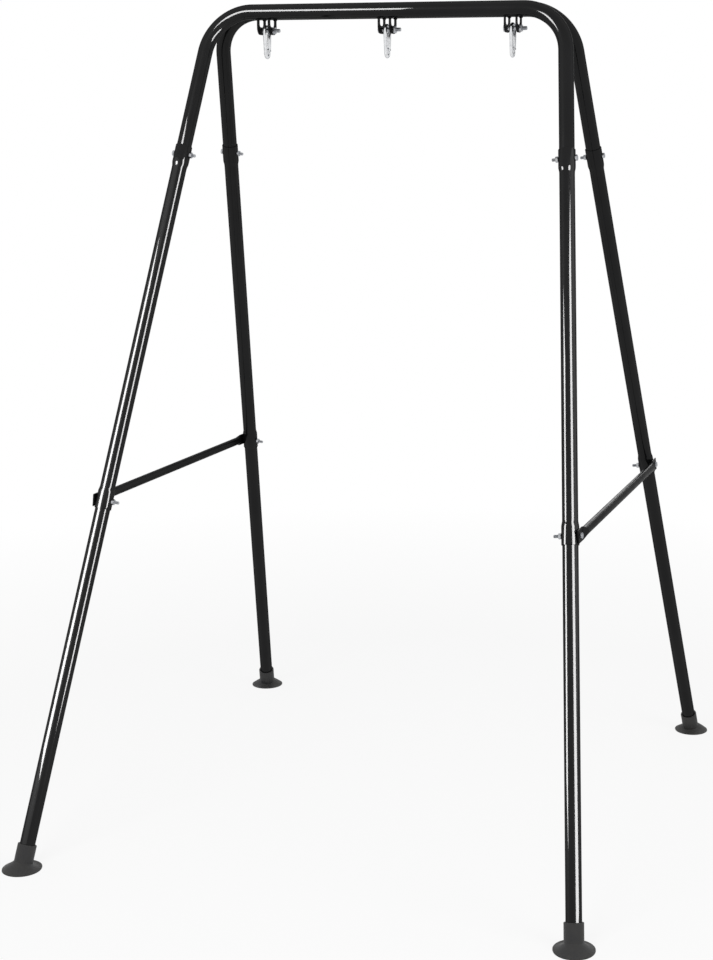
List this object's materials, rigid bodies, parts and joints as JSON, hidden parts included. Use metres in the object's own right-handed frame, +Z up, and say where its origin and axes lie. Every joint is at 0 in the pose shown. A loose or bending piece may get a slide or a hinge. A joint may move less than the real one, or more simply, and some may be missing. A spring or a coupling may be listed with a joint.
{
  "type": "swing stand",
  "caption": "A-frame swing stand of black bolted steel tube, with snap hooks on hanger plates under a double crossbar and round rubber feet.",
  "frame": {"origin": "on the floor, midway between the four feet", "axes": "+Z up, X along the crossbars with +X to the right, and the front towards -Y"},
  "size_m": [1.512, 1.598, 2.1188],
  "materials": {
    "black_paint": "gloss",
    "rubber": "matte",
    "zinc": "satin",
    "spring": "satin"
  },
  "bodies": {
    "stand": {"front_bow": "black_paint", "rear_bow": "black_paint", "front_left_middle_leg": "black_paint", "front_left_lower_leg": "black_paint", "front_right_middle_leg": "black_paint", "front_right_lower_leg": "black_paint", "rear_left_middle_leg": "black_paint", "rear_left_lower_leg": "black_paint", "rear_right_middle_leg": "black_paint", "rear_right_lower_leg": "black_paint", "left_side_brace": "black_paint", "right_side_brace": "black_paint", "front_left_foot_cap": "rubber", "front_right_foot_cap": "rubber", "rear_left_foot_cap": "rubber", "rear_right_foot_cap": "rubber", "front_left_joint_bolt": "zinc", "front_left_joint_nut": "zinc", "front_right_joint_bolt": "zinc", "front_right_joint_nut": "zinc", "rear_left_joint_bolt": "zinc", "rear_left_joint_nut": "zinc", "rear_right_joint_bolt": "zinc", "rear_right_joint_nut": "zinc", "front_left_brace_bolt": "zinc", "front_left_brace_nut": "zinc", "front_right_brace_bolt": "zinc", "front_right_brace_nut": "zinc", "rear_left_brace_bolt": "zinc", "rear_left_brace_nut": "zinc", "rear_right_brace_bolt": "zinc", "rear_right_brace_nut": "zinc", "left_hanger_left_plate": "black_paint", "left_hanger_right_plate": "black_paint", "left_hanger_bolt": "zinc", "left_hanger_nut": "zinc", "middle_hanger_left_plate": "black_paint", "middle_hanger_right_plate": "black_paint", "middle_hanger_bolt": "zinc", "middle_hanger_nut": "zinc", "right_hanger_left_plate": "black_paint", "right_hanger_right_plate": "black_paint", "right_hanger_bolt": "zinc", "right_hanger_nut": "zinc"},
    "left_hook": {"left_hook_body": "zinc", "left_hook_pin": "zinc"},
    "left_gate": {"left_hook_gate": "zinc", "left_hook_spring": "spring"},
    "middle_hook": {"middle_hook_body": "zinc", "middle_hook_pin": "zinc"},
    "middle_gate": {"middle_hook_gate": "zinc", "middle_hook_spring": "spring"},
    "right_hook": {"right_hook_body": "zinc", "right_hook_pin": "zinc"},
    "right_gate": {"right_hook_gate": "zinc", "right_hook_spring": "spring"}
  },
  "joints": [
    {"name": "left_hook_swing", "type": "hinge", "parent": "stand", "child": "left_hook", "pos_m": [-0.331, 0, 2.0532], "axis": [1, 0, 0], "range_deg": [-110, 110]},
    {"name": "middle_hook_swing", "type": "hinge", "parent": "stand", "child": "middle_hook", "pos_m": [0, 0, 2.0532], "axis": [1, 0, 0], "range_deg": [-110, 110]},
    {"name": "right_hook_swing", "type": "hinge", "parent": "stand", "child": "right_hook", "pos_m": [0.331, 0, 2.0532], "axis": [1, 0, 0], "range_deg": [-110, 110]},
    {"name": "left_gate_opening", "type": "hinge", "parent": "left_hook", "child": "left_gate", "pos_m": [-0.331, 0.0103, 2.00344], "axis": [1, 0, 0], "range_deg": [0, 24], "stiffness_Nm_per_rad": 0.2, "springref_deg": -28.65},
    {"name": "middle_gate_opening", "type": "hinge", "parent": "middle_hook", "child": "middle_gate", "pos_m": [0, 0.0103, 2.00344], "axis": [1, 0, 0], "range_deg": [0, 24], "stiffness_Nm_per_rad": 0.2, "springref_deg": -28.65},
    {"name": "right_gate_opening", "type": "hinge", "parent": "right_hook", "child": "right_gate", "pos_m": [0.331, 0.0103, 2.00344], "axis": [1, 0, 0], "range_deg": [0, 24], "stiffness_Nm_per_rad": 0.2, "springref_deg": -28.65}
  ]
}
